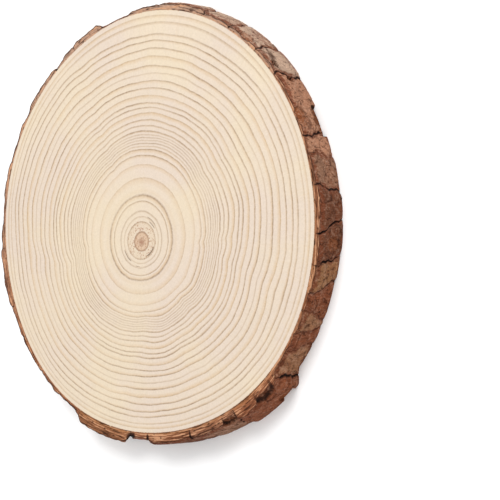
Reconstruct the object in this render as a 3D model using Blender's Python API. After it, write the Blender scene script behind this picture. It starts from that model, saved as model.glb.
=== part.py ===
"""A round slice sawn straight across a small pine log, with its bark on, lying on its sawn face.

Metres, +Z up. The origin is under the middle of the slice, on the surface that it lies on.
Angles go anticlockwise round the log from +X, as seen from above. A height on the rim is given
as a share of the thickness: 0 is the lower sawn face and 1 is the upper one.
"""

import math
from typing import NamedTuple

import bmesh
import bpy
from mathutils import Vector, noise

MM = 0.001

# Driving sizes
THICKNESS = 18.0 * MM
WOOD_RADIUS = 114.2 * MM
BARK_THICKNESS = 4.0 * MM

# How finely the rim is divided, round the log and through its thickness
COLUMNS = 480
ROWS = 8


class Wave(NamedTuple):
    """A slow swelling round the log: how often it repeats, how high it is and how far it is turned."""

    repeats: int
    height: float
    turn: float


# The wood is nearly round, a touch fuller at the lower right and the upper left
WOOD_WAVES = (
    Wave(1, 0.45 * MM, -40.0),
    Wave(2, 0.82 * MM, 165.0),
    Wave(3, 0.72 * MM, -78.0),
    Wave(4, 0.55 * MM, -108.0),
    Wave(5, 0.28 * MM, 126.0),
)


class Crack(NamedTuple):
    """A split right through the bark's rim, by its angle at the upper and at the lower sawn face.

    The level is that of the plate that follows it anticlockwise, as a share of the bark's thickness.
    """

    upper: float
    lower: float
    half_width: float
    depth: float
    level: float


class Flake(NamedTuple):
    """A place where an outer scale of the bark has come away, as an oval hollow."""

    angle: float
    height: float
    half_run: float
    half_rise: float
    depth: float


# The splits and plates on the side that faces the viewer, from the bottom round to the top
NEAR_CRACKS = (
    Crack(-94.0, -102.0, 5.0 * MM, 3.4 * MM, 1.10),
    Crack(-87.3, -93.3, 2.0 * MM, 2.6 * MM, 1.65),
    Crack(-72.5, -69.5, 1.9 * MM, 2.4 * MM, 1.70),
    Crack(-56.0, -58.3, 1.6 * MM, 2.2 * MM, 2.15),
    Crack(-39.8, -39.0, 1.5 * MM, 1.9 * MM, 0.70),
    Crack(-32.8, -29.8, 1.3 * MM, 0.6 * MM, 0.76),
    Crack(-27.5, -25.4, 1.3 * MM, 0.6 * MM, 0.76),
    Crack(-20.4, -23.0, 1.3 * MM, 0.6 * MM, 0.78),
    Crack(-16.8, -12.5, 1.4 * MM, 1.0 * MM, 1.00),
    Crack(-9.0, -6.3, 1.5 * MM, 2.0 * MM, 1.20),
    Crack(-0.8, 3.2, 1.4 * MM, 2.0 * MM, 1.20),
    Crack(11.3, 9.8, 1.6 * MM, 1.6 * MM, 0.95),
    Crack(20.0, 19.0, 1.3 * MM, 0.5 * MM, 0.74),
    Crack(24.6, 25.6, 1.8 * MM, 1.5 * MM, 0.68),
    Crack(44.0, 42.0, 1.3 * MM, 0.7 * MM, 0.88),
    Crack(53.3, 53.4, 1.6 * MM, 1.4 * MM, 0.84),
    Crack(63.9, 65.4, 1.8 * MM, 1.5 * MM, 0.78),
    Crack(74.0, 77.0, 1.6 * MM, 1.5 * MM, 1.12),
    Crack(90.0, 87.5, 1.5 * MM, 1.3 * MM, 0.80),
)
# Those on the far side, of which only the upper edge was seen
FAR_CRACKS = (
    Crack(101.0, 102.5, 1.4 * MM, 1.2 * MM, 0.42),
    Crack(112.0, 113.5, 1.5 * MM, 1.1 * MM, 1.22),
    Crack(123.5, 124.0, 1.2 * MM, 1.6 * MM, 1.00),
    Crack(128.5, 127.5, 1.4 * MM, 1.2 * MM, 0.50),
    Crack(132.5, 131.0, 3.0 * MM, 2.6 * MM, 0.92),
    Crack(148.0, 150.0, 1.5 * MM, 1.2 * MM, 0.64),
    Crack(164.0, 162.5, 1.7 * MM, 1.6 * MM, 0.76),
    Crack(182.0, 180.0, 1.4 * MM, 1.3 * MM, 0.98),
    Crack(189.0, 190.5, 1.5 * MM, 1.9 * MM, 1.42),
    Crack(207.0, 205.0, 1.6 * MM, 1.4 * MM, 1.00),
    Crack(216.0, 218.0, 1.5 * MM, 1.3 * MM, 0.92),
    Crack(228.0, 227.0, 1.4 * MM, 1.2 * MM, 0.84),
    Crack(238.0, 239.0, 1.8 * MM, 1.6 * MM, 0.66),
    Crack(246.0, 245.0, 1.5 * MM, 1.7 * MM, 1.90),
)
# The scales that have come off, in the same two parts
NEAR_FLAKES = (
    Flake(-48.5, 0.95, 13.0 * MM, 5.5 * MM, 3.2 * MM),
    Flake(-44.5, 0.10, 5.0 * MM, 5.0 * MM, 1.7 * MM),
    Flake(-3.5, 0.45, 4.0 * MM, 4.5 * MM, 0.7 * MM),
    Flake(30.0, 0.86, 6.0 * MM, 3.6 * MM, 1.3 * MM),
    Flake(29.5, 0.08, 9.5 * MM, 4.8 * MM, 2.2 * MM),
    Flake(58.0, 0.90, 5.0 * MM, 2.6 * MM, 0.8 * MM),
)
FAR_FLAKES = (
    Flake(121.0, 0.30, 6.5 * MM, 4.0 * MM, 1.4 * MM),
    Flake(140.0, 0.65, 5.0 * MM, 3.5 * MM, 0.9 * MM),
    Flake(173.0, 0.22, 6.0 * MM, 3.8 * MM, 0.9 * MM),
    Flake(198.0, 0.45, 7.0 * MM, 4.5 * MM, 1.5 * MM),
    Flake(222.0, 0.15, 5.0 * MM, 3.4 * MM, 0.7 * MM),
    Flake(254.0, 0.45, 5.5 * MM, 4.5 * MM, 1.6 * MM),
)

# A missing scale leaves a hollow with a flat floor: the higher the power, the steeper its edge
FLAKE_EDGE_POWER = 4
FLAKE_EDGE_STEEPNESS = 2.0

# Where two plates meet, one level eases into the other over this many degrees
LEVEL_EASE = 4.0
# The edges of a plate fall away towards the splits
SHOULDER_DROP = 0.6 * MM
SHOULDER_RUN = 2.2 * MM
# Its weathered face is uneven
ROUGHNESS_HEIGHT = 0.35 * MM
ROUGHNESS_SIZE = 7.0 * MM
# The bark never goes deeper than this share of its thickness
DEEPEST_SHARE = 0.85

# Faces that meet at less than this are shaded as one round surface
SMOOTH_BELOW = math.radians(35.0)

WOOD_COLOUR = (0.82, 0.70, 0.55)
WOOD_ROUGHNESS = 0.6
BARK_COLOUR = (0.22, 0.10, 0.05)
BARK_ROUGHNESS = 0.9


def clear_scene() -> None:
    """Remove every object that the scene already holds."""
    for item in list(bpy.data.objects):
        bpy.data.objects.remove(item, do_unlink=True)


def waved(angle: float, waves: tuple[Wave, ...]) -> float:
    """Sum the slow waves at an angle in degrees."""
    return sum(w.height * math.cos(math.radians(w.repeats * angle - w.turn)) for w in waves)


def wood_radius(angle: float) -> float:
    """Distance from the log's middle to the line where wood meets bark."""
    return WOOD_RADIUS + waved(angle, WOOD_WAVES)


def turned(from_angle: float, to_angle: float) -> float:
    """Shortest turn in degrees from one angle to another, positive anticlockwise."""
    return (to_angle - from_angle + 180.0) % 360.0 - 180.0


def eased(share: float) -> float:
    """Ease from 0 to 1, flat at both ends, with the share clipped to that range."""
    part = min(1.0, max(0.0, share))
    return part * part * (3.0 - 2.0 * part)


class Bark:
    """The relief of the rim: plates parted by splits, with scales missing here and there."""

    def __init__(self) -> None:
        self.cracks = NEAR_CRACKS + FAR_CRACKS
        self.flakes = NEAR_FLAKES + FAR_FLAKES

    def nearest(self, angle: float, height: float) -> tuple[int, float]:
        """Number of the nearest split, and the turn from it to here in degrees."""
        turns = [turned(c.lower + (c.upper - c.lower) * height, angle) for c in self.cracks]
        index = min(range(len(turns)), key=lambda i: abs(turns[i]))
        return index, turns[index]

    def thickness(self, index: int, turn: float) -> float:
        """Thickness of the bark near a split, where one plate's level eases into the next one's."""
        before = self.cracks[index - 1].level
        after = self.cracks[index].level
        return BARK_THICKNESS * (before + (after - before) * eased(turn / LEVEL_EASE + 0.5))

    def groove(self, index: int, turn: float, radius: float) -> float:
        """How far the split, or the plate's edge beside it, lies below the plate's face."""
        crack = self.cracks[index]
        distance = math.radians(abs(turn)) * radius
        inside = max(0.0, 1.0 - (distance / crack.half_width) ** 2)
        return max(crack.depth * inside, SHOULDER_DROP * math.exp(-distance / SHOULDER_RUN))

    def missing(self, angle: float, height: float, radius: float) -> float:
        """How far the lost scales cut into the bark here."""
        deepest = 0.0
        for flake in self.flakes:
            run = math.radians(turned(flake.angle, angle)) * radius / flake.half_run
            rise = (height - flake.height) * THICKNESS / flake.half_rise
            inside = 1.0 - math.hypot(run, rise) ** FLAKE_EDGE_POWER
            deepest = max(deepest, flake.depth * min(1.0, FLAKE_EDGE_STEEPNESS * inside))
        return deepest

    def radius(self, angle: float, height: float) -> float:
        """Distance from the log's middle to the bark's face, at an angle and a height."""
        index, past = self.nearest(angle, height)
        thickness = self.thickness(index, past)
        outer = wood_radius(angle) + thickness
        turn = math.radians(angle)
        spot = Vector((outer * math.cos(turn), outer * math.sin(turn), height * THICKNESS))
        uneven = ROUGHNESS_HEIGHT * (0.5 + 0.5 * noise.noise(spot / ROUGHNESS_SIZE))
        drop = self.groove(index, past, outer) + self.missing(angle, height, outer) + uneven
        return outer - min(drop, DEEPEST_SHARE * thickness)


def finish(name: str, colour: tuple[float, float, float], roughness: float) -> bpy.types.Material:
    """Make a plain Principled material of one colour."""
    material = bpy.data.materials.new(name)
    material.use_nodes = True
    shader = material.node_tree.nodes["Principled BSDF"]
    shader.inputs["Base Color"].default_value = (*colour, 1.0)
    shader.inputs["Roughness"].default_value = roughness
    shader.inputs["Metallic"].default_value = 0.0
    return material


def angle_of(point: Vector) -> float:
    """Angle of a point round the log, in degrees."""
    return math.degrees(math.atan2(point.y, point.x))


def put_at_radius(vert: bmesh.types.BMVert, radius: float) -> None:
    """Move a vertex in or out along its own spoke."""
    vert.co.xy = vert.co.xy.normalized() * radius


def make_slice() -> bpy.types.Object:
    """Model the slice: a disc with a rim of bark, split into rows so that the bark has relief."""
    bark = Bark()
    bm = bmesh.new()
    outer = WOOD_RADIUS + BARK_THICKNESS
    bmesh.ops.create_cone(
        bm, cap_ends=True, segments=COLUMNS, radius1=outer, radius2=outer, depth=THICKNESS
    )
    bmesh.ops.translate(bm, verts=bm.verts, vec=(0.0, 0.0, THICKNESS / 2))

    upright = [e for e in bm.edges if abs(e.verts[0].co.z - e.verts[1].co.z) > THICKNESS / 2]
    bmesh.ops.subdivide_edges(bm, edges=upright, cuts=ROWS - 1, use_grid_fill=True)

    sawn = [f for f in bm.faces if len(f.verts) > 4]
    bmesh.ops.inset_region(bm, faces=sawn, thickness=BARK_THICKNESS, use_even_offset=True)
    wood_edge = {v for f in sawn for v in f.verts}

    for vert in bm.verts:
        angle = angle_of(vert.co)
        if vert in wood_edge:
            put_at_radius(vert, wood_radius(angle))
        else:
            put_at_radius(vert, bark.radius(angle, vert.co.z / THICKNESS))
    for face in bm.faces:
        face.material_index = 0 if face in sawn else 1
    bmesh.ops.recalc_face_normals(bm, faces=bm.faces)

    middle_x = (min(v.co.x for v in bm.verts) + max(v.co.x for v in bm.verts)) / 2
    middle_y = (min(v.co.y for v in bm.verts) + max(v.co.y for v in bm.verts)) / 2
    bmesh.ops.translate(bm, verts=bm.verts, vec=(-middle_x, -middle_y, 0.0))

    mesh = bpy.data.meshes.new("wood_slice")
    bm.to_mesh(mesh)
    bm.free()
    mesh.materials.append(finish("sawn_pine", WOOD_COLOUR, WOOD_ROUGHNESS))
    mesh.materials.append(finish("pine_bark", BARK_COLOUR, BARK_ROUGHNESS))
    mesh.shade_smooth()
    mesh.set_sharp_from_angle(angle=SMOOTH_BELOW)
    return bpy.data.objects.new("wood_slice", mesh)


def main() -> None:
    """Build the slice in an empty scene."""
    clear_scene()
    bpy.context.scene.collection.objects.link(make_slice())


main()
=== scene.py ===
"""The looks of a round slice of pine log: sawn wood with its growth rings, inside a rim of rough bark.

Everything is in metres, and a table of small sizes gives them in millimetres and turns them into
metres itself. The pieces are worked out round the log's middle and then moved together, so that the
outline is centred on the frame. Angles go anticlockwise from +X, seen from above, in degrees. A height
on the rim is a share of the thickness: 0 at the lower sawn face, 1 at the upper.
"""

import logging
import math
from dataclasses import dataclass
from enum import Enum
from functools import cache

import bmesh
import bpy
import numpy as np
from mathutils import Matrix, Vector, noise


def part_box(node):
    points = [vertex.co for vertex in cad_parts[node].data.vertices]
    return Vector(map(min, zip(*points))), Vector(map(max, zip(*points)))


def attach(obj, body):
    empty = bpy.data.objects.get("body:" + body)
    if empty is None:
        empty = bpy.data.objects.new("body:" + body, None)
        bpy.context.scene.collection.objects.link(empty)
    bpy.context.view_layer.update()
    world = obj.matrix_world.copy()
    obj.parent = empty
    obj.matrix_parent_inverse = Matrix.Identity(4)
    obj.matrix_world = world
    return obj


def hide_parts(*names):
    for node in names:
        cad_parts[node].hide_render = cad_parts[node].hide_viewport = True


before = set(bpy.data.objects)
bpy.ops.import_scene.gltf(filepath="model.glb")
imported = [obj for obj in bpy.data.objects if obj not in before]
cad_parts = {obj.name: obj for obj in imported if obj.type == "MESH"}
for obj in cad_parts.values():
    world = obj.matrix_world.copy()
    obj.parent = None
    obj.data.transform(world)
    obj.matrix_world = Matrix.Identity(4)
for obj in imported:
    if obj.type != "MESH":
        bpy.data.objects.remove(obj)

LOG = logging.getLogger("wood_slice")
MM = 0.001
NODE = "wood_slice"

Array = np.ndarray
Mesh = bpy.types.Mesh
Socket = bpy.types.NodeSocket
Colour = tuple[float, ...]
Value = Socket | float | Colour


class Mark(Enum):
    """The named values that the meshes carry for their materials."""

    YEAR = "year"
    SHARE = "share"
    BAND_PART = "band_part"
    BAND = "band"
    LINE_PART = "line_part"
    LINE = "line"
    RAY = "ray"
    SHAKE = "shake"
    PLATE = "plate"
    SHADE = "shade"
    HOLLOW = "hollow"
    BORDER = "border"
    # Painted shade: darkest deep in the bark's splits, and in the shadow of a deep missing scale's wall.
    SPLIT = "split"
    FRESH = "fresh"
    # Painted shade along the steps between scales and round the rims of missing scales.
    LEDGE = "ledge"
    # Painted highlight along the scales' raised lips.
    LIP = "lip"
    SLAB = "slab"


def srgb(red: int, green: int, blue: int) -> Colour:
    """Turn a colour as seen on a screen into the linear colour that a shader takes.

    Args:
        red: Red, from 0 to 255.
        green: Green, from 0 to 255.
        blue: Blue, from 0 to 255.

    Returns:
        The linear colour with full alpha.
    """
    def linear(level: int) -> float:
        """Undo the screen's gamma for one level."""
        share = level / 255.0
        return share / 12.92 if share <= 0.04045 else ((share + 0.055) / 1.055) ** 2.4

    return (linear(red), linear(green), linear(blue), 1.0)


class PlateTone(Enum):
    """The colours of the bark's weathered plates."""

    GREY = srgb(141, 98, 69)
    TAN = srgb(140, 97, 64)
    PINK = srgb(159, 113, 87)
    PALE = srgb(174, 146, 125)
    ROSE = srgb(138, 89, 65)
    RED = srgb(123, 69, 43)
    DUN = srgb(136, 98, 76)
    BROWN = srgb(97, 57, 37)


def turned(start: Array | float, end: Array | float) -> Array:
    """Shortest turn from one angle to another, in degrees, positive anticlockwise."""
    return (end - start + 180.0) % 360.0 - 180.0


def smooth(value: Array) -> Array:
    """Ease from 0 to 1, flat at both ends, with the value clipped to that range."""
    part = np.clip(value, 0.0, 1.0)
    return part * part * (3.0 - 2.0 * part)


def unevenness(points: Array, size: float, octaves: int, seed: float) -> Array:
    """Smooth random values, mostly from -1 to 1, whose largest lumps are about this wide."""
    return np.array([noise.fractal(Vector(p), 1.0, 2.0, octaves) for p in points / size + seed])


@dataclass(frozen=True)
class Wave:
    """A slow swelling round the log: how often it repeats, how high it is and how far it is turned."""

    repeats: int
    height: float
    turn: float

    def at(self, angle: Array) -> Array:
        """Height of the wave at each angle."""
        return self.height * np.cos(np.radians(self.repeats * angle - self.turn))


@dataclass(frozen=True)
class Crack:
    """A split right through the bark's rim, by its angle at the upper and at the lower sawn face.

    The level is that of the plate that follows it anticlockwise, as a share of the bark's thickness,
    and the tone is that plate's colour.
    """

    upper: float
    lower: float
    half_width: float
    depth: float
    level: float
    tone: PlateTone


@dataclass(frozen=True)
class Flake:
    """A place where an outer scale of the bark has come away."""

    angle: float
    height: float
    half_run: float
    half_rise: float
    depth: float


@dataclass(frozen=True)
class GrowthYear:
    """One year's wood: its width, its tan late band, and the thin dark line that ends it."""

    width: float
    band_width: float
    band: float
    line: float


@dataclass(frozen=True)
class Ridge:
    """A kink that runs outwards through many rings, where each ring dips towards the pith or bulges."""

    inner_angle: float
    outer_angle: float
    inner_share: float
    outer_share: float
    half_width: float
    push: float


@dataclass(frozen=True)
class Shake:
    """A short dark crack along a ring near the pith."""

    start: float
    end: float
    share: float
    half_width: float
    darkness: float


@dataclass(frozen=True)
class LogOutline:
    """The log's outline in plan: the line where wood meets bark."""

    wood_mean_radius: float = 114.2 * MM
    wood_waves: tuple[Wave, ...] = (
        Wave(1, 0.45 * MM, -40.0),
        Wave(2, 0.82 * MM, 165.0),
        Wave(3, 0.72 * MM, -78.0),
        Wave(4, 0.55 * MM, -108.0),
        Wave(5, 0.28 * MM, 126.0),
    )

    def wood_radius(self, angle: Array) -> Array:
        """Distance from the log's middle to the line where wood meets bark."""
        return self.wood_mean_radius + sum(wave.at(angle) for wave in self.wood_waves)


# From the pith outwards: width and band width in mm, then how strong the band and the line are.
YEARS = tuple(GrowthYear(width * MM, band_width * MM, band, line) for width, band_width, band, line in (
    (2.2, 2.2, 0.60, 0.30), (3.1, 2.4, 0.90, 0.90), (5.2, 2.0, 0.50, 0.85), (2.6, 1.0, 0.40, 0.45),
    (2.6, 0.9, 0.40, 0.60), (5.1, 1.2, 0.55, 0.75), (2.8, 2.6, 0.75, 0.90), (8.7, 3.4, 0.50, 0.30),
    (6.8, 2.4, 0.40, 0.25), (4.6, 1.8, 0.50, 0.70), (3.1, 2.2, 0.60, 0.75), (1.6, 0.6, 0.40, 0.30),
    (1.5, 0.6, 0.40, 0.60), (1.5, 0.6, 0.40, 0.30), (1.4, 0.6, 0.40, 0.50), (1.5, 0.6, 0.40, 0.30),
    (1.7, 1.2, 0.70, 0.80), (2.8, 1.0, 0.50, 0.60), (3.0, 1.2, 0.60, 0.70), (3.7, 2.2, 0.70, 0.45),
    (3.0, 1.0, 0.50, 0.80), (2.6, 1.2, 0.60, 0.80), (4.1, 2.2, 0.65, 0.40), (3.9, 1.2, 0.55, 0.90),
    (3.9, 1.9, 0.75, 0.80), (3.9, 1.0, 0.30, 0.40), (3.8, 1.8, 0.70, 0.80), (4.8, 2.4, 0.70, 0.40),
    (4.0, 1.3, 0.55, 0.80), (4.1, 1.4, 0.65, 0.90), (3.1, 1.3, 0.55, 0.75), (4.2, 1.1, 0.45, 0.50),
    (2.7, 1.7, 0.60, 0.35), (2.4, 0.4, 0.10, 0.00),
))

# Angles of its inner and outer end, shares of both ends, half width in degrees, and push in mm.
RIDGES = tuple(Ridge(*course, push * MM) for *course, push in (
    (2.0, 5.0, 0.36, 0.56, 3.0, -1.1), (43.0, 38.0, 0.42, 0.74, 6.0, -1.2),
    (76.0, 74.0, 0.48, 0.72, 10.0, -0.8), (121.0, 118.0, 0.38, 0.90, 5.0, -1.0),
    (186.0, 194.0, 0.38, 0.52, 6.0, -1.4), (195.0, 187.0, 0.54, 0.78, 5.0, -1.8),
    (182.0, 180.0, 0.80, 0.95, 12.0, -1.0), (277.0, 265.0, 0.42, 0.84, 8.0, -1.0),
    (317.0, 316.0, 0.38, 0.58, 6.0, -1.1), (354.0, 347.0, 0.52, 0.84, 7.0, -2.0),
    (302.0, 300.0, 0.55, 0.80, 8.0, -0.6), (18.0, 22.0, 0.45, 0.80, 11.0, 1.3),
    (166.0, 168.0, 0.50, 0.92, 12.0, 1.3), (224.0, 228.0, 0.45, 0.90, 14.0, 0.9),
    (292.0, 288.0, 0.42, 0.66, 10.0, 1.1), (333.0, 330.0, 0.40, 0.90, 8.0, 0.7),
))

SHAKES = (
    Shake(92.0, 118.0, 0.119, 0.34 * MM, 0.9),
    Shake(198.0, 238.0, 0.119, 0.36 * MM, 1.0),
    Shake(252.0, 268.0, 0.128, 0.26 * MM, 0.6),
    Shake(294.0, 352.0, 0.081, 0.50 * MM, 1.0),
    Shake(40.0, 70.0, 0.101, 0.34 * MM, 0.9),
    Shake(44.0, 80.0, 0.115, 0.28 * MM, 0.7),
)


@dataclass(frozen=True)
class GrowthRings:
    """The rings of the wood, from the pith out to the bark."""

    outline: LogOutline
    years: tuple[GrowthYear, ...] = YEARS
    ridges: tuple[Ridge, ...] = RIDGES
    pith: tuple[float, float] = (-5.1 * MM, -11.0 * MM)
    widest_row: float = 2.2 * MM
    inner_lean: float = 1.9 * MM
    inner_lean_angle: float = 175.0
    inner_lean_share: float = 0.2
    outer_squeeze: float = -3.0 * MM
    outer_squeeze_angle: float = 84.0
    outer_squeeze_half_width: float = 46.0
    outer_squeeze_start: float = 0.4
    outer_squeeze_share: float = 0.92
    ridge_fade: float = 5.0
    pith_calm: float = 6.0
    bark_calm: float = 12.0
    waviness: float = 0.5 * MM
    waviness_size: float = 14.0 * MM
    ripple: float = 0.16 * MM
    ripple_size: float = 3.5 * MM

    def year_shares(self) -> Array:
        """Where each year ends, as a share of the way from the pith to the bark, with 0 first."""
        ends = np.cumsum([0.0] + [year.width for year in self.years])
        return ends / ends[-1]

    def rows(self, shakes: tuple[Shake, ...]) -> list[float]:
        """Pick the shares at which the sawn face has a row of vertices.

        Args:
            shakes: Cracks that need a row on each side of them and one along them.

        Returns:
            Rising shares from just off the pith to the bark, with a row at the end of every year.
        """
        ends = self.year_shares()
        found = []
        for start, end, year in zip(ends, ends[1:], self.years):
            count = math.ceil(year.width / self.widest_row)
            found += [start + (end - start) * (step + 1) / count for step in range(count)]
        for shake in shakes:
            reach = shake.half_width / self.outline.wood_mean_radius
            found = [share for share in found if abs(share - shake.share) > 2.0 * reach]
            found += [shake.share - reach, shake.share, shake.share + reach]
        return sorted(found)

    def drift(self, angle: Array, share: Array) -> Array:
        """Work out how far the rings bulge away from scaled copies of the outline.

        Args:
            angle: Angle round the pith at each point.
            share: Share of the way from the pith to the bark at each point.

        Returns:
            Push away from the pith at each point, nothing at the pith and at the bark.
        """
        inner = np.clip(share / self.inner_lean_share, 0.0, 1.0) * (1.0 - share ** 4)
        push = self.inner_lean * inner * np.cos(np.radians(angle - self.inner_lean_angle))
        off = np.abs(turned(self.outer_squeeze_angle, angle)) / self.outer_squeeze_half_width
        side = smooth(1.6 * (1.0 - off))
        start = self.outer_squeeze_start
        rise = smooth((share - start) / (self.outer_squeeze_share - start))
        fall = smooth((1.0 - share) / (1.0 - self.outer_squeeze_share))
        push += self.outer_squeeze * side * rise * fall
        for ridge in self.ridges:
            along = (share - ridge.inner_share) / (ridge.outer_share - ridge.inner_share)
            lean = ridge.outer_angle - ridge.inner_angle
            centre = ridge.inner_angle + lean * np.clip(along, 0.0, 1.0)
            off = np.abs(turned(centre, angle)) / ridge.half_width
            strength = smooth(along * self.ridge_fade + 1.0) * smooth((1.0 - along) * self.ridge_fade + 1.0)
            push += ridge.push * strength * np.exp(-off ** 1.5)
        return push * smooth((1.0 - share) * self.bark_calm)

    def place(self, angle: Array, share: Array) -> Array:
        """Find the point of the sawn face for each spoke and share.

        Args:
            angle: Angle of each spoke's end round the log's middle.
            share: Share of the way from the pith to the bark.

        Returns:
            Points in plan, one row each.
        """
        pith = np.array(self.pith)
        spoke = plan_points(angle, self.outline.wood_radius(angle)) - pith
        length = np.linalg.norm(spoke, axis=1)
        way = spoke / length[:, None]
        own_angle = np.degrees(np.arctan2(way[:, 1], way[:, 0]))
        plain = pith + spoke * share[:, None]
        spots = np.column_stack([plain, np.zeros(len(plain))])
        calm = smooth(share * self.pith_calm) * smooth((1.0 - share) * self.bark_calm)
        push = self.drift(own_angle, share)
        push += calm * self.waviness * unevenness(spots, self.waviness_size, 2, 3.7)
        push += calm * self.ripple * unevenness(spots, self.ripple_size, 2, 9.1)
        return plain + way * push[:, None]


@dataclass
class RimPoints:
    """Points on the rim, with the wood's radius and the bark's coarse and fine unevenness at each."""

    angle: Array
    height: Array
    wood: Array
    places: Array
    coarse: Array
    fine: Array


@dataclass
class BarkSample:
    """The bark's rim at some points: its radius, and the marks that its material reads."""

    radius: Array
    marks: dict[Mark, Array]


# Angles at the upper and lower face, half width and depth in mm, and the plate's level and tone.
CRACKS = tuple(Crack(*ends, half_width * MM, depth * MM, *plate) for *ends, half_width, depth, plate in (
    (-94.0, -102.0, 5.0, 3.4, (1.10, PlateTone.ROSE)),
    (-87.3, -93.3, 2.0, 2.6, (1.65, PlateTone.BROWN)),
    (-72.5, -69.5, 1.9, 2.4, (1.70, PlateTone.DUN)),
    (-56.0, -58.3, 1.6, 2.2, (2.15, PlateTone.RED)),
    (-39.8, -39.0, 1.5, 1.9, (0.70, PlateTone.GREY)),
    (-32.8, -29.8, 1.3, 0.6, (0.76, PlateTone.RED)),
    (-27.5, -25.4, 1.3, 0.6, (0.76, PlateTone.GREY)),
    (-20.4, -23.0, 1.3, 0.6, (0.78, PlateTone.RED)),
    (-16.8, -12.5, 1.4, 1.0, (1.00, PlateTone.TAN)),
    (-9.0, -6.3, 1.5, 2.0, (1.20, PlateTone.BROWN)),
    (-0.8, 3.2, 1.4, 2.0, (1.20, PlateTone.BROWN)),
    (11.3, 9.8, 1.6, 1.6, (0.95, PlateTone.DUN)),
    (20.0, 19.0, 1.3, 0.5, (0.74, PlateTone.PINK)),
    (24.6, 25.6, 1.8, 1.5, (0.68, PlateTone.PINK)),
    (44.0, 42.0, 1.7, 1.4, (0.88, PlateTone.PALE)),
    (53.3, 53.4, 1.6, 1.4, (0.84, PlateTone.PALE)),
    (63.9, 65.4, 1.8, 1.5, (0.78, PlateTone.PALE)),
    (74.0, 77.0, 1.6, 1.5, (1.12, PlateTone.PALE)),
    (90.0, 87.5, 1.5, 1.3, (0.80, PlateTone.PINK)),
    (101.0, 102.5, 1.4, 1.2, (0.42, PlateTone.RED)),
    (112.0, 113.5, 1.5, 1.1, (1.22, PlateTone.PINK)),
    (123.5, 124.0, 1.2, 1.6, (1.00, PlateTone.ROSE)),
    (128.5, 127.5, 1.4, 1.2, (0.50, PlateTone.RED)),
    (132.5, 131.0, 3.0, 2.6, (0.92, PlateTone.TAN)),
    (148.0, 150.0, 1.5, 1.2, (0.64, PlateTone.BROWN)),
    (164.0, 162.5, 1.7, 1.6, (0.76, PlateTone.ROSE)),
    (182.0, 180.0, 1.4, 1.3, (0.98, PlateTone.TAN)),
    (189.0, 190.5, 1.5, 1.9, (1.42, PlateTone.ROSE)),
    (207.0, 205.0, 1.6, 1.4, (1.00, PlateTone.PINK)),
    (216.0, 218.0, 1.5, 1.3, (0.92, PlateTone.ROSE)),
    (228.0, 227.0, 1.4, 1.2, (0.84, PlateTone.PINK)),
    (238.0, 239.0, 1.8, 1.6, (0.66, PlateTone.ROSE)),
    (246.0, 245.0, 1.5, 1.7, (1.90, PlateTone.TAN)),
))

# Angle, height, then half its run round the rim, half its rise and its depth in mm.
FLAKES = tuple(Flake(angle, height, *(size * MM for size in sizes)) for angle, height, *sizes in (
    (-45.2, 1.16, 9.5, 5.6, 3.2), (-44.5, 0.10, 5.0, 5.0, 1.7), (-58.4, 0.98, 5.2, 3.2, 2.4),
    (-3.5, 0.45, 4.0, 4.5, 0.7), (30.0, 0.86, 6.0, 3.6, 1.3), (29.5, 0.08, 9.5, 4.8, 2.2),
    (46.6, 0.82, 3.4, 1.5, 2.2), (41.9, 0.52, 1.7, 2.6, 2.1), (58.0, 0.90, 5.0, 2.6, 0.8),
    (121.0, 0.30, 6.5, 4.0, 1.4), (140.0, 0.65, 5.0, 3.5, 0.9), (173.0, 0.22, 6.0, 3.8, 0.9),
    (198.0, 0.45, 7.0, 4.5, 1.5), (222.0, 0.15, 5.0, 3.4, 0.7), (254.0, 0.45, 5.5, 4.5, 1.6),
))


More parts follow.
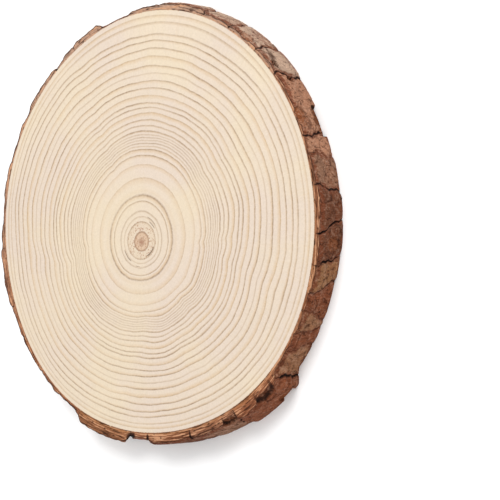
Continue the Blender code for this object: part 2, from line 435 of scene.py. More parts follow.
@dataclass(frozen=True)
class BarkRelief:
    """The rim's relief: plates of layered bark parted by splits, with scales missing here and there.

    Each swing of a split is its strength, its repeats up the rim, and its turn from split to split.
    """

    outline: LogOutline
    slice_thickness: float
    bark_thickness: float = 4.0 * MM
    cracks: tuple[Crack, ...] = CRACKS
    flakes: tuple[Flake, ...] = FLAKES
    coarse_size: float = 8.0 * MM
    fine_size: float = 2.4 * MM
    level_ease: float = 4.0
    edge_drop: float = 0.7 * MM
    edge_run: float = 1.6 * MM
    split_share: float = 0.55
    split_width_range: tuple[float, float] = (0.35, 1.5)
    # Depth of a split at which its painted shade is fully dark.
    full_shade_depth: float = 1.4 * MM
    swing: float = 0.35
    swings: tuple[tuple[float, float, float], ...] = ((1.0, 1.3, 0.37), (0.5, 3.7, 0.71))
    fine_swing: float = 0.6
    slab_inset: float = 1.3 * MM
    slab_run: float = 0.5 * MM
    slab_raggedness: float = 1.5 * MM
    slab_drop: float = 0.6 * MM
    scale_size: float = 11.5 * MM
    scale_flatness: float = 1.25
    scale_bend: float = 0.28
    scale_drop: float = 0.45 * MM
    scale_tilt: float = 0.35 * MM
    scale_gap: float = 0.06
    seam_drop: float = 0.3 * MM
    flake_raggedness: float = 0.25
    flake_grit: float = 0.08
    wall_share: float = 0.08
    least_wall: float = 0.1
    shadow_depth: float = 1.4 * MM
    shadow_strength: float = 0.75
    fresh_depth: float = 1.3 * MM
    fresh_calm: float = 0.6
    lumps: float = 0.25 * MM
    grit: float = 0.1 * MM
    wear: float = 0.9 * MM
    wear_height: float = 0.16
    raised: float = 0.5 * MM
    deepest_share: float = 0.85

    def points(self, angle: Array, height: Array) -> RimPoints:
        """Work out where points on the rim are, and how uneven the bark is there.

        Args:
            angle: Angle of each point round the log's middle.
            height: Height of each point as a share of the thickness.

        Returns:
            The points.
        """
        wood = self.outline.wood_radius(angle)
        plan = plan_points(angle, wood + self.bark_thickness)
        places = np.column_stack([plan, height * self.slice_thickness])
        coarse = unevenness(places, self.coarse_size, 3, 1.3)
        return RimPoints(angle, height, wood, places, coarse, unevenness(places, self.fine_size, 3, 5.2))

    def nearest(self, at: RimPoints) -> tuple[Array, Array]:
        """Find the nearest split to each point.

        Args:
            at: The points.

        Returns:
            The split's number, and the turn from it to the point in degrees.
        """
        best = np.full_like(at.angle, 360.0)
        number = np.zeros(len(at.angle), dtype=int)
        for index, crack in enumerate(self.cracks):
            wave = sum(
                strength * np.sin(2.0 * math.pi * (at.height * repeats + step * index))
                for strength, repeats, step in self.swings
            )
            straight = crack.lower + (crack.upper - crack.lower) * at.height
            turn = turned(straight + self.swing * (wave + self.fine_swing * at.fine), at.angle)
            closer = np.abs(turn) < np.abs(best)
            best = np.where(closer, turn, best)
            number = np.where(closer, index, number)
        return number, best

    def scales(self, at: RimPoints, plate: Array) -> tuple[Array, ...]:
        """Divide the plates into overlapping scales.

        Args:
            at: The points.
            plate: Number of the plate at each point.

        Returns:
            A random share for each scale, how far each point rises towards the scale's free edge, from
            -1 to 1, and how far it is from the next scale, from 0.
        """
        plate_step = 9.0
        scatter, scatter_scale, way_scale = (12.9, 78.2, 37.7), 437.5, 91.7
        places = at.places * (1.0, 1.0, self.scale_flatness) / self.scale_size + plate_step * plate[:, None]
        places += self.scale_bend * np.column_stack([at.coarse, -at.coarse, np.roll(at.coarse, 1)])
        found = [noise.voronoi(Vector(place)) for place in places]
        centre = np.array([spots[0] for _, spots in found])
        gap = np.array([distances[1] - distances[0] for distances, _ in found])
        own = np.modf(np.abs(np.sin(centre @ scatter) * scatter_scale))[0]
        way = 2.0 * math.pi * np.modf(own * way_scale)[0]
        aside = places - centre
        along = np.hypot(aside[:, 0], aside[:, 1]) * np.sign(aside[:, 0])
        return own, along * np.cos(way) + aside[:, 2] * np.sin(way), gap

    def missing_scales(self, at: RimPoints, outer: Array) -> tuple[Array, ...]:
        """Work out where outer scales have come away.

        Args:
            at: The points.
            outer: The plates' outer radius at each point.

        Returns:
            The hollows' depth, how fresh the bark is there, the painted shade along their rims and the
            painted shadow of their walls, each of the last three from 0 to 1.
        """
        hollow, fresh, rim_shade_line, wall_shadow_line = np.zeros((4, len(outer)))
        rough = self.flake_raggedness * at.coarse + self.flake_grit * at.fine
        for flake in self.flakes:
            run = np.radians(turned(flake.angle, at.angle)) * outer / flake.half_run
            up = (at.height - flake.height) * self.slice_thickness / flake.half_rise
            inside = 1.0 - np.hypot(run, up) ** 2 - rough
            missing = smooth(inside / (self.wall_share * flake.depth / MM + self.least_wall))
            # Painted shade along each hollow's rim, and painted shadow next to the wall of a deep hollow.
            near_wall = smooth(2.0 * missing) * smooth(1.6 - 3.0 * inside)
            shade = near_wall * smooth((flake.depth - self.shadow_depth) / MM)
            rim_shade_line = np.maximum(rim_shade_line, 4.0 * missing * (1.0 - missing))
            wall_shadow_line = np.maximum(wall_shadow_line, self.shadow_strength * shade)
            hollow = np.maximum(hollow, flake.depth * missing)
            fresh = np.maximum(fresh, missing * min(1.0, flake.depth / self.fresh_depth))
        return hollow, fresh, rim_shade_line, wall_shadow_line

    def sample(self, angle: Array, height: Array) -> BarkSample:
        """Work out the rim's radius and marks.

        Args:
            angle: Angle of each point round the log's middle.
            height: Height of each point as a share of the thickness.

        Returns:
            The radius and the marks at each point.
        """
        at = self.points(angle, height)
        coarse, fine = at.coarse, at.fine
        number, past = self.nearest(at)
        levels = np.array([crack.level for crack in self.cracks])
        before = levels[number - 1]
        level = before + (levels[number] - before) * smooth(past / self.level_ease + 0.5)
        thickness = self.bark_thickness * level
        outer = at.wood + thickness
        distance = np.radians(np.abs(past)) * outer
        half_width = self.split_share * np.array([crack.half_width for crack in self.cracks])[number]
        half_width = half_width * np.clip(0.85 + 0.9 * coarse, *self.split_width_range)
        depth = np.array([crack.depth for crack in self.cracks])[number]
        split = np.clip(1.0 - distance / half_width, 0.0, 1.0)
        edge = np.exp(-distance / self.edge_run)

        plate = np.where(past < 0.0, number - 1, number) % len(self.cracks)
        own, rise, gap = self.scales(at, plate)
        seam = smooth(1.0 - gap / self.scale_gap) * smooth(0.75 + 1.2 * coarse)
        from_saw = 0.7 * self.slice_thickness * np.minimum(1.0 - height, height + 0.08)
        inset = np.minimum(distance, from_saw) + self.slab_raggedness * (0.8 * coarse + 0.4 * fine)
        slab = smooth((inset - self.slab_inset) / self.slab_run)
        scaly = self.scale_drop * own + self.scale_tilt * (0.5 - 0.7 * rise) + self.seam_drop * seam
        scaly = scaly * slab + self.slab_drop * (1.0 - slab)
        hollow, fresh, rim_shade_line, wall_shadow_line = self.missing_scales(at, outer)

        surface = self.edge_drop * edge + scaly * (1.0 - self.fresh_calm * fresh)
        drop = np.maximum(surface, depth * split ** 0.7) + hollow
        drop += self.lumps * (0.5 + 0.5 * coarse) + self.grit * fine - self.raised
        worn = smooth((height - 1.0 + self.wear_height) / self.wear_height)
        drop += self.wear * worn * np.clip(0.9 + 0.8 * coarse, 0.0, 1.4)
        drop = np.clip(drop, 0.0, self.deepest_share * thickness)
        tones = np.array([crack.tone.value[:3] for crack in self.cracks])
        # Painted highlight along each scale's lip, just past the seam on its rising side.
        lip = smooth(1.0 - np.abs(gap - 1.6 * self.scale_gap) / self.scale_gap) * smooth(3.0 * rise)
        marks = {
            Mark.PLATE: tones[plate] * (0.9 + 0.2 * own)[:, None],
            Mark.SHADE: own,
            Mark.HOLLOW: hollow,
            Mark.BORDER: distance,
            # Painted shade, darker the deeper the split, and the painted shadow of missing scales' walls.
            Mark.SPLIT: np.clip(np.maximum(split * depth / self.full_shade_depth, wall_shadow_line), 0.0, 1.0),
            Mark.FRESH: fresh,
            # Painted shade along the scales' seams and round missing scales' rims.
            Mark.LEDGE: np.maximum(seam * slab * (1.0 - 0.5 * fresh), rim_shade_line),
            Mark.SLAB: slab,
            Mark.LIP: lip,
        }
        return BarkSample(outer - drop, marks)


def plan_points(angle: Array, radius: Array) -> Array:
    """Points in plan, one row each, at these angles and distances from the log's middle."""
    turn = np.radians(angle)
    return np.column_stack([radius * np.cos(turn), radius * np.sin(turn)])


def add_object(name: str, bm: bmesh.types.BMesh) -> bpy.types.Object:
    """Turn a bmesh into an object of the scene, and free it.

    Args:
        name: The name of the object and of its mesh.
        bm: The shape.

    Returns:
        The new object.
    """
    mesh = bpy.data.meshes.new(name)
    bm.to_mesh(mesh)
    bm.free()
    made = bpy.data.objects.new(name, mesh)
    bpy.context.scene.collection.objects.link(made)
    return made


def shade(mesh: Mesh, crease: float) -> None:
    """Shade a mesh smoothly, apart from edges that turn more than this many degrees."""
    mesh.shade_smooth()
    mesh.set_sharp_from_angle(angle=math.radians(crease))


def roll_profile(points: list[tuple[float, float]], columns: int) -> bmesh.types.BMesh:
    """Carry a profile once round the upright axis, by rolling a flat grid into a ring.

    Args:
        points: The profile from end to end, as distance from the axis and height.
        columns: How many columns of faces the ring has.

    Returns:
        The ring, closed where its ends meet, with its faces pointing out.
    """
    rows = len(points) - 1
    bm = bmesh.new()
    bmesh.ops.create_grid(bm, x_segments=columns, y_segments=rows, size=0.5)
    for vert in bm.verts:
        turn = 2.0 * math.pi * (vert.co.x + 0.5)
        radius, height = points[round((vert.co.y + 0.5) * rows)]
        vert.co = (radius * math.cos(turn), radius * math.sin(turn), height)
    bmesh.ops.remove_doubles(bm, verts=bm.verts, dist=0.001 * MM)
    bmesh.ops.recalc_face_normals(bm, faces=bm.faces)
    return bm


def mesh_points(mesh: Mesh) -> Array:
    """Places of a mesh's vertices, one row each."""
    return np.array([vert.co for vert in mesh.vertices])


def set_points(mesh: Mesh, points: Array) -> None:
    """Move a mesh's vertices to these places."""
    mesh.vertices.foreach_set("co", points.astype(np.float32).ravel())
    mesh.update()


def set_mark(mesh: Mesh, mark: Mark, values: Array) -> None:
    """Store a mark on a mesh.

    Args:
        mesh: The mesh.
        mark: The mark's name.
        values: A number for each vertex, or a row of three.
    """
    kind, key = ("FLOAT_VECTOR", "vector") if values.ndim == 2 else ("FLOAT", "value")
    layer = mesh.attributes.new(mark.value, kind, "POINT")
    layer.data.foreach_set(key, values.astype(np.float32).ravel())


@dataclass(frozen=True)
class Fade:
    """How strong an effect is: it goes from start to end as a value goes from low to high."""

    low: float
    high: float
    start: float = 0.0
    end: float = 1.0

    def limits(self) -> dict[str, float]:
        """The ends of both ranges, by the names of a node's inputs."""
        return {"From Min": self.low, "From Max": self.high, "To Min": self.start, "To Max": self.end}


class Graph:
    """A node tree, with short ways to add the nodes that the finishes use."""

    def __init__(self, tree: bpy.types.NodeTree) -> None:
        """Work on this node tree."""
        self.tree = tree

    def put(self, inputs: bpy.types.NodeInputs, values: dict[str | int, Value]) -> None:
        """Fill a node's inputs.

        Args:
            inputs: The node's inputs.
            values: What they take, by their names or numbers: sockets to link, or plain values.
        """
        for name, value in values.items():
            if isinstance(value, Socket):
                self.tree.links.new(value, inputs[name])
            else:
                inputs[name].default_value = value

    def add(
        self, kind: str, values: dict[str | int, Value], output: str | int = 0, **settings: object
    ) -> Socket:
        """Add a node.

        Args:
            kind: The node's kind, without the start that all kinds share.
            values: What its inputs take, by their names or numbers.
            output: The name or number of the output that is wanted.
            settings: The node's properties.

        Returns:
            The output's socket.
        """
        made = self.tree.nodes.new(f"ShaderNode{kind}")
        for name, value in settings.items():
            setattr(made, name, value)
        self.put(made.inputs, values)
        return made.outputs[output]

    def math(self, operation: str, *values: Value, clamp: bool = False) -> Socket:
        """Combine one to three numbers by one of Blender's operations."""
        return self.add("Math", dict(enumerate(values)), operation=operation, use_clamp=clamp)

    def times(self, *values: Value, clamp: bool = False) -> Socket:
        """Multiply two numbers."""
        return self.math("MULTIPLY", *values, clamp=clamp)

    def minus(self, *values: Value, clamp: bool = False) -> Socket:
        """Take the second number from the first."""
        return self.math("SUBTRACT", *values, clamp=clamp)

    def scale_add(self, value: Value, factor: Value, base: Value) -> Socket:
        """Multiply a number by a factor and add a base."""
        return self.math("MULTIPLY_ADD", value, factor, base)

    def read(self, mark: Mark, output: str = "Fac") -> Socket:
        """Read one of the mesh's marks, as a number, a Color or a Vector."""
        return self.add("Attribute", {}, output, attribute_name=mark.value)

    def place(self) -> Socket:
        """The point's place on the object."""
        return self.add("TexCoord", {}, "Object")

    def stretch(self, vector: Value, scale: tuple[float, float, float]) -> Socket:
        """Scale a vector by a factor along each axis."""
        return self.add("Mapping", {"Vector": vector, "Scale": scale}, "Vector")

    def noise(self, vector: Value, size: float, detail: float = 3.0, rough: float = 0.6) -> Socket:
        """Add noise around 0.5 whose lumps are about this wide."""
        values = {"Vector": vector, "Scale": 1.0 / size, "Detail": detail, "Roughness": rough}
        return self.add("TexNoise", values, "Fac", noise_dimensions="3D")

    def fit(self, value: Value, fade: Fade) -> Socket:
        """Turn a value into the strength of an effect."""
        return self.add("MapRange", {"Value": value} | fade.limits(), "Result", clamp=True)

    def mix(self, factor: Value, first: Value, second: Value) -> Socket:
        """Mix two colours, by the numbers of the node's colour inputs and output."""
        return self.add("Mix", {0: factor, 6: first, 7: second}, 2, data_type="RGBA")

    def tint(self, colour: Value, other: Value, value: Value, fade: Fade) -> Socket:
        """Mix another colour in, as strongly as a value and its fade say."""
        return self.mix(self.fit(value, fade), colour, other)

    def mottle(self, colour: Value, place: Value, patch_size: float, amount: float) -> Socket:
        """Make a colour lighter and darker in patches about this wide."""
        values = {"Colour": colour, "Place": place, "Patch Scale": 1.0 / patch_size, "Amount": amount}
        return self.add("Group", values, "Colour", node_tree=mottle_group())

    def bump(self, height: Value, distance: float) -> Socket:
        """Turn a height into a normal."""
        return self.add("Bump", {"Strength": 1.0, "Distance": distance, "Height": height}, "Normal")


@cache
def mottle_group() -> bpy.types.NodeTree:
    """Build the group that makes a colour lighter and darker in soft patches, once for all finishes.

    Returns:
        A group with the inputs Colour, Place, Patch Scale and Amount, and the output Colour.
    """
    group = bpy.data.node_groups.new("Mottle", "ShaderNodeTree")
    for name, side, kind in (
        ("Colour", "INPUT", "Color"), ("Place", "INPUT", "Vector"), ("Patch Scale", "INPUT", "Float"),
        ("Amount", "INPUT", "Float"), ("Colour", "OUTPUT", "Color"),
    ):
        group.interface.new_socket(name=name, in_out=side, socket_type=f"NodeSocket{kind}")
    given = group.nodes.new("NodeGroupInput").outputs
    result = group.nodes.new("NodeGroupOutput").inputs
    graph = Graph(group)
    values = {"Vector": given["Place"], "Scale": given["Patch Scale"], "Detail": 4.0, "Roughness": 0.6}
    patches = graph.add("TexNoise", values, "Fac", noise_dimensions="3D")
    factor = graph.scale_add(graph.minus(patches, 0.5), given["Amount"], 1.0)
    scaled = graph.add("VectorMath", {0: given["Colour"], "Scale": factor}, operation="SCALE")
    graph.put(result, {"Colour": scaled})
    return group


@dataclass(frozen=True)
class Finish:
    """What every finish has: a name, a roughness and a gloss. Alone, it is a plain colour."""

    name: str
    roughness: float
    gloss: float
    colour: Colour

    def paint(self, graph: Graph) -> dict[str, Value]:
        """Say what the shader's inputs take, by their names."""
        return {"Base Color": self.colour}

    def material(self) -> bpy.types.Material:
        """Build the material.

        Returns:
            The material, with all its nodes.
        """
        material = bpy.data.materials.new(self.name)
        material.use_nodes = True
        graph = Graph(material.node_tree)
        plain = {"Metallic": 0.0, "Roughness": self.roughness, "Specular IOR Level": self.gloss}
        graph.put(material.node_tree.nodes["Principled BSDF"].inputs, plain | self.paint(graph))
        return material


@dataclass(frozen=True)
class SawnPineFinish(Finish):
    """Smooth sawn end grain: pale early wood, tan bands, thin brown lines, and a brown pith."""

    name: str = "sawn_pine"
    roughness: float = 0.62
    gloss: float = 0.5
    colour: Colour = srgb(211, 195, 171)
    pink: Colour = srgb(206, 190, 174)
    band: Colour = srgb(195, 165, 126)
    line: Colour = srgb(141, 116, 93)
    core: Colour = srgb(198, 168, 141)
    speck: Colour = srgb(147, 99, 68)
    pith: Colour = srgb(149, 106, 81)
    shake: Colour = srgb(92, 63, 43)
    inner_bark: Colour = srgb(156, 104, 63)
    wobble: float = 0.05
    band_rise: float = 0.8
    tail_part: float = 0.35
    line_gloss: float = 0.08
    pith_share: float = 0.045
    slow_swing: Fade = Fade(0.3, 0.7, 0.55, 1.3)
    band_swing: Fade = Fade(0.3, 0.7, 0.6, 1.4)
    broken: Fade = Fade(0.3, 0.7, 0.52, 1.12)
    pink_patches: Fade = Fade(0.38, 0.62)
    core_edge: Fade = Fade(0.045, 0.049, 0.75, 0.0)
    core_skin: Fade = Fade(0.001, 0.006, 0.5, 0.0)
    speck_edge: Fade = Fade(0.092, 0.096, 0.7, 0.0)
    specks: Fade = Fade(0.54, 0.62)
    pith_edge: Fade = Fade(0.030, 0.052, 0.8, 0.0)
    rays: Fade = Fade(0.5, 0.75, 0.0, 0.16)
    bark_stain: Fade = Fade(1.003, 1.008, 0.0, 0.8)

    def lines(self, graph: Graph, place: Socket) -> tuple[Socket, Socket]:
        """Work out the rings: how strong the tan bands are, and the thin lines.

        Args:
            graph: The material's node tree.
            place: The point's place on the object.

        Returns:
            The strength of the band and of the line at the point.
        """
        shift = graph.minus(graph.noise(place, 1.6 * MM), 0.5)
        part = graph.math("FRACT", graph.scale_add(shift, self.wobble, graph.read(Mark.YEAR)))
        left = graph.minus(1.0, part)
        line_part = graph.read(Mark.LINE_PART)
        band = graph.minus(1.0, graph.math("DIVIDE", left, graph.read(Mark.BAND_PART)), clamp=True)
        band = graph.times(graph.math("POWER", band, self.band_rise), graph.read(Mark.BAND))
        line = graph.minus(1.0, graph.math("DIVIDE", left, line_part), clamp=True)
        tail = graph.math("DIVIDE", part, graph.times(line_part, self.tail_part))
        line = graph.math("MAXIMUM", line, graph.minus(1.0, tail, clamp=True))
        line = graph.times(line, graph.read(Mark.LINE))
        broken = graph.fit(graph.noise(place, 1.8 * MM, 3.0, 0.65), self.broken)
        swing = graph.fit(graph.noise(place, 26.0 * MM, 2.0, 0.5), self.slow_swing)
        band = graph.times(band, graph.fit(graph.noise(place, 38.0 * MM, 1.0, 0.5), self.band_swing))
        return graph.times(band, broken, clamp=True), graph.times(line, graph.times(swing, broken))

    def paint(self, graph: Graph) -> dict[str, Value]:
        """Paint the wood between its rings, the rings, the pith and the shakes.

        Args:
            graph: The material's node tree.

        Returns:
            What the shader's inputs take, by their names.
        """
        place = graph.place()
        share = graph.read(Mark.SHARE)
        band, line = self.lines(graph, place)
        patches = graph.noise(place, 42.0 * MM, 3.0, 0.5)
        colour = graph.tint(self.colour, self.pink, patches, self.pink_patches)
        colour = graph.mix(band, colour, self.band)
        colour = graph.tint(colour, self.core, share, self.core_edge)
        off_skin = graph.math("ABSOLUTE", graph.minus(share, self.pith_share))
        colour = graph.tint(colour, self.pith, off_skin, self.core_skin)
        specks = graph.fit(graph.noise(place, 0.8 * MM, 2.0), self.specks)
        colour = graph.mix(graph.times(graph.fit(share, self.speck_edge), specks), colour, self.speck)
        blurred = graph.scale_add(graph.noise(place, 1.2 * MM), 0.05, share)
        colour = graph.tint(colour, self.pith, blurred, self.pith_edge)
        colour = graph.mix(graph.times(line, 1.0, clamp=True), colour, self.line)
        colour = graph.mix(graph.read(Mark.SHAKE), colour, self.shake)

        ray = graph.stretch(graph.read(Mark.RAY, "Vector"), (1.0, 1.0, 0.12))
        colour = graph.tint(colour, self.band, graph.noise(ray, 0.006, 2.0, 0.5), self.rays)
        ragged = graph.scale_add(graph.noise(place, 0.8 * MM, 2.0, 0.5), 0.012, share)
        colour = graph.tint(colour, self.inner_bark, ragged, self.bark_stain)
        colour = graph.mottle(colour, place, 22.0 * MM, 0.07)
        height = graph.scale_add(graph.noise(place, 0.5 * MM, 2.0, 0.5), 0.5, line)
        return {
            "Base Color": graph.mottle(colour, place, 0.8 * MM, 0.28),
            "Roughness": graph.scale_add(line, -self.line_gloss, self.roughness),
            "Normal": graph.bump(height, 0.03 * MM),
        }


@dataclass(frozen=True)
class BarkFaceFinish(Finish):
    """The bark's weathered outer face: layered plates, red-brown where a scale is missing."""

    name: str = "bark_face"
    roughness: float = 0.92
    gloss: float = 0.12
    colour: Colour = srgb(108, 58, 36)
    fresh: Colour = srgb(133, 76, 43)
    dark: Colour = srgb(58, 27, 15)
    # Painted shade deep in the splits.
    split_shade_colour: Colour = srgb(25, 11, 6)
    pale: Colour = srgb(190, 153, 131)
    pale_share: float = 0.4
    arc_width: float = 0.22 * MM
    red_scales: Fade = Fade(0.65, 1.1, 0.0, 0.6)
    red_edges: Fade = Fade(0.0, 1.0, 0.9, 0.0)
    arc_tops: Fade = Fade(0.5, 1.0)
    arc_reach: Fade = Fade(1.5 * MM, 5.0 * MM, 1.0, 0.0)
    arc_fibre: Fade = Fade(0.4, 0.6, 0.1, 0.45)
    # Painted shade in deep hollows, by their depth.
    hollow_shade: Fade = Fade(1.4 * MM, 3.0 * MM, 0.0, 0.8)
    # Painted shade in the folds' creases.
    fold_crease_shade: Fade = Fade(0.0, 0.024, 1.0, 0.0)
    fold_place: Fade = Fade(0.48, 0.56, 0.0, 0.9)
    dark_fibre: Fade = Fade(0.58, 0.68, 0.0, 0.5)
    pale_fibre: Fade = Fade(0.42, 0.32, 0.0, 0.35)
    pale_patch: Fade = Fade(0.45, 0.36, 0.0, 0.5)
    split_shade_edge: Fade = Fade(0.08, 0.75)
    roughness_fade: Fade = Fade(0.3, 0.7, 0.82, 0.92)

    def paint(self, graph: Graph) -> dict[str, Value]:
        """Paint the plates' own tones, the bare places with painted shade in deep hollows, painted
        highlights on the scales' lips, and painted shade in the folds, along the seams and in the splits.

        Args:
            graph: The material's node tree.

        Returns:
            What the shader's inputs take, by their names.
        """
        place = graph.place()
        uneven = graph.noise(place, 2.6 * MM)
        fibre = graph.noise(graph.stretch(place, (1.0, 1.0, 0.22)), 0.9 * MM)
        tone = graph.read(Mark.PLATE, "Color")
        pale = graph.mix(self.pale_share, tone, self.pale)
        colour = graph.mottle(tone, place, 4.0 * MM, 0.7)
        deeper = graph.scale_add(graph.minus(uneven, 0.5), 1.6, graph.read(Mark.SHADE))
        colour = graph.tint(colour, self.colour, deeper, self.red_scales)
        colour = graph.tint(colour, self.colour, graph.read(Mark.SLAB), self.red_edges)

        # Bare fresh bark in the hollows, with painted shade that darkens the deeper hollows.
        bare = graph.tint(self.fresh, self.dark, graph.read(Mark.HOLLOW), self.hollow_shade)
        colour = graph.mix(graph.times(graph.read(Mark.FRESH), 0.85), colour, bare)
        border = graph.read(Mark.BORDER)
        arc = graph.math("SINE", graph.scale_add(uneven, 6.0, graph.math("DIVIDE", border, self.arc_width)))
        arc = graph.times(graph.fit(arc, self.arc_tops), graph.fit(border, self.arc_reach))
        colour = graph.mix(graph.times(arc, graph.fit(fibre, self.arc_fibre)), colour, pale)
        # Painted highlight on the scales' lips.
        colour = graph.mix(graph.times(graph.read(Mark.LIP), 0.4), colour, pale)
        fold = graph.noise(graph.stretch(place, (1.0, 1.0, 0.6)), 5.0 * MM)
        fold = graph.fit(graph.math("ABSOLUTE", graph.minus(fold, 0.5)), self.fold_crease_shade)
        fold = graph.times(fold, graph.fit(uneven, self.fold_place))
        # Painted shade along the folds' creases.
        colour = graph.mix(fold, colour, self.dark)

        colour = graph.tint(colour, self.dark, fibre, self.dark_fibre)
        colour = graph.tint(colour, pale, fibre, self.pale_fibre)
        colour = graph.tint(colour, pale, uneven, self.pale_patch)
        # Painted shade along the scales' seams and round missing scales.
        colour = graph.mix(graph.times(graph.read(Mark.LEDGE), 0.75), colour, self.dark)
        # Painted shade in the splits and in the shadow of deep hollows' walls.
        colour = graph.tint(colour, self.split_shade_colour, graph.read(Mark.SPLIT), self.split_shade_edge)
        height = graph.scale_add(graph.noise(place, 0.45 * MM), 0.5, graph.minus(uneven, fibre))
        height = graph.minus(height, graph.times(fold, 0.6))
        return {
            "Base Color": graph.mottle(colour, place, 0.9 * MM, 1.2),
            "Roughness": graph.fit(uneven, self.roughness_fade),
            "Normal": graph.bump(height, 0.5 * MM),
        }


@dataclass(frozen=True)
class BarkCutFinish(Finish):
    """The bark where the saw went through it: thin layers that follow the rim, paler on the far side."""

    name: str = "bark_cut"
    roughness: float = 0.85
    gloss: float = 0.12
    colour: Colour = srgb(146, 93, 62)
    inner: Colour = srgb(182, 123, 79)
    outer: Colour = srgb(114, 68, 46)
    dark: Colour = srgb(43, 20, 10)
    cork: Colour = srgb(200, 149, 113)
    splinter: Colour = srgb(207, 187, 160)
    far_tone: Colour = srgb(178, 148, 128)
    far_side: tuple[float, float, float] = (-0.5, 0.87, 0.0)
    far_reach: Fade = Fade(0.0, 0.11, 0.0, 0.7)
    inner_layers: Fade = Fade(0.12, 0.4)
    outer_layers: Fade = Fade(0.4, 0.95)
    tone_share: float = 0.35
    dark_layers: Fade = Fade(0.53, 0.63, 0.0, 0.85)
    cork_layers: Fade = Fade(0.47, 0.40, 0.0, 0.85)
    dark_pits: Fade = Fade(0.60, 0.68, 0.0, 0.85)
    # Painted shade along the outer edge, where the rim turns away.
    outer_edge_shade: Fade = Fade(0.25 * MM, 0.6 * MM, 0.8, 0.0)
    edge_shade_raggedness: float = 1.2 * MM
    wood_seam: Fade = Fade(0.12, 0.18, 0.55, 0.0)
    splinter_loss: float = 260.0
    splinter_edge: Fade = Fade(0.0, 0.04)
    split_shade_edge: Fade = Fade(0.15, 0.8, 0.0, 0.9)

    def paint(self, graph: Graph) -> dict[str, Value]:
        """Paint the layers, the pits, painted shade along the outer edge and in the splits, and the
        splinters at the wood.

        Args:
            graph: The material's node tree.

        Returns:
            What the shader's inputs take, by their names.
        """
        place = graph.place()
        across = graph.read(Mark.SHARE)
        ray = graph.read(Mark.RAY, "Vector")
        colour = graph.tint(self.inner, self.colour, across, self.inner_layers)
        colour = graph.tint(colour, self.outer, across, self.outer_layers)
        colour = graph.mix(self.tone_share, colour, graph.read(Mark.PLATE, "Color"))
        # Paler towards -X and +Y.
        side = graph.add("VectorMath", {0: place, 1: self.far_side}, "Value", operation="DOT_PRODUCT")
        colour = graph.tint(colour, self.far_tone, side, self.far_reach)

        layers = graph.noise(graph.stretch(ray, (8.0 * MM, 8.0 * MM, 1.0)), 0.75 * MM)
        colour = graph.tint(colour, self.dark, layers, self.dark_layers)
        colour = graph.tint(colour, self.cork, layers, self.cork_layers)
        pits = graph.noise(graph.stretch(ray, (0.03, 0.03, 1.0)), 1.1 * MM, 2.0)
        colour = graph.tint(colour, self.dark, pits, self.dark_pits)
        depth = graph.add("SeparateXYZ", {"Vector": ray}, "Z")
        to_outer_edge = graph.minus(graph.math("DIVIDE", depth, across), depth)
        to_outer_edge = graph.scale_add(graph.minus(pits, 0.5), self.edge_shade_raggedness, to_outer_edge)
        # Painted shade line along the outer edge, ragged with the pits.
        colour = graph.tint(colour, self.dark, to_outer_edge, self.outer_edge_shade)
        colour = graph.tint(colour, self.dark, across, self.wood_seam)
        teeth = graph.noise(graph.stretch(ray, (1.0, 1.0, 0.3)), 0.03, 3.0, 0.7)
        teeth = graph.minus(teeth, graph.scale_add(depth, self.splinter_loss, 0.5))
        colour = graph.tint(colour, self.splinter, teeth, self.splinter_edge)
        # Painted shade where a split crosses the sawn edge.
        colour = graph.tint(colour, self.dark, graph.read(Mark.SPLIT), self.split_shade_edge)
        height = graph.minus(graph.noise(place, 0.5 * MM), graph.math("ADD", layers, pits))
        return {
            "Base Color": graph.mottle(colour, place, 1.5 * MM, 0.7),
            "Normal": graph.bump(height, 0.3 * MM),
        }


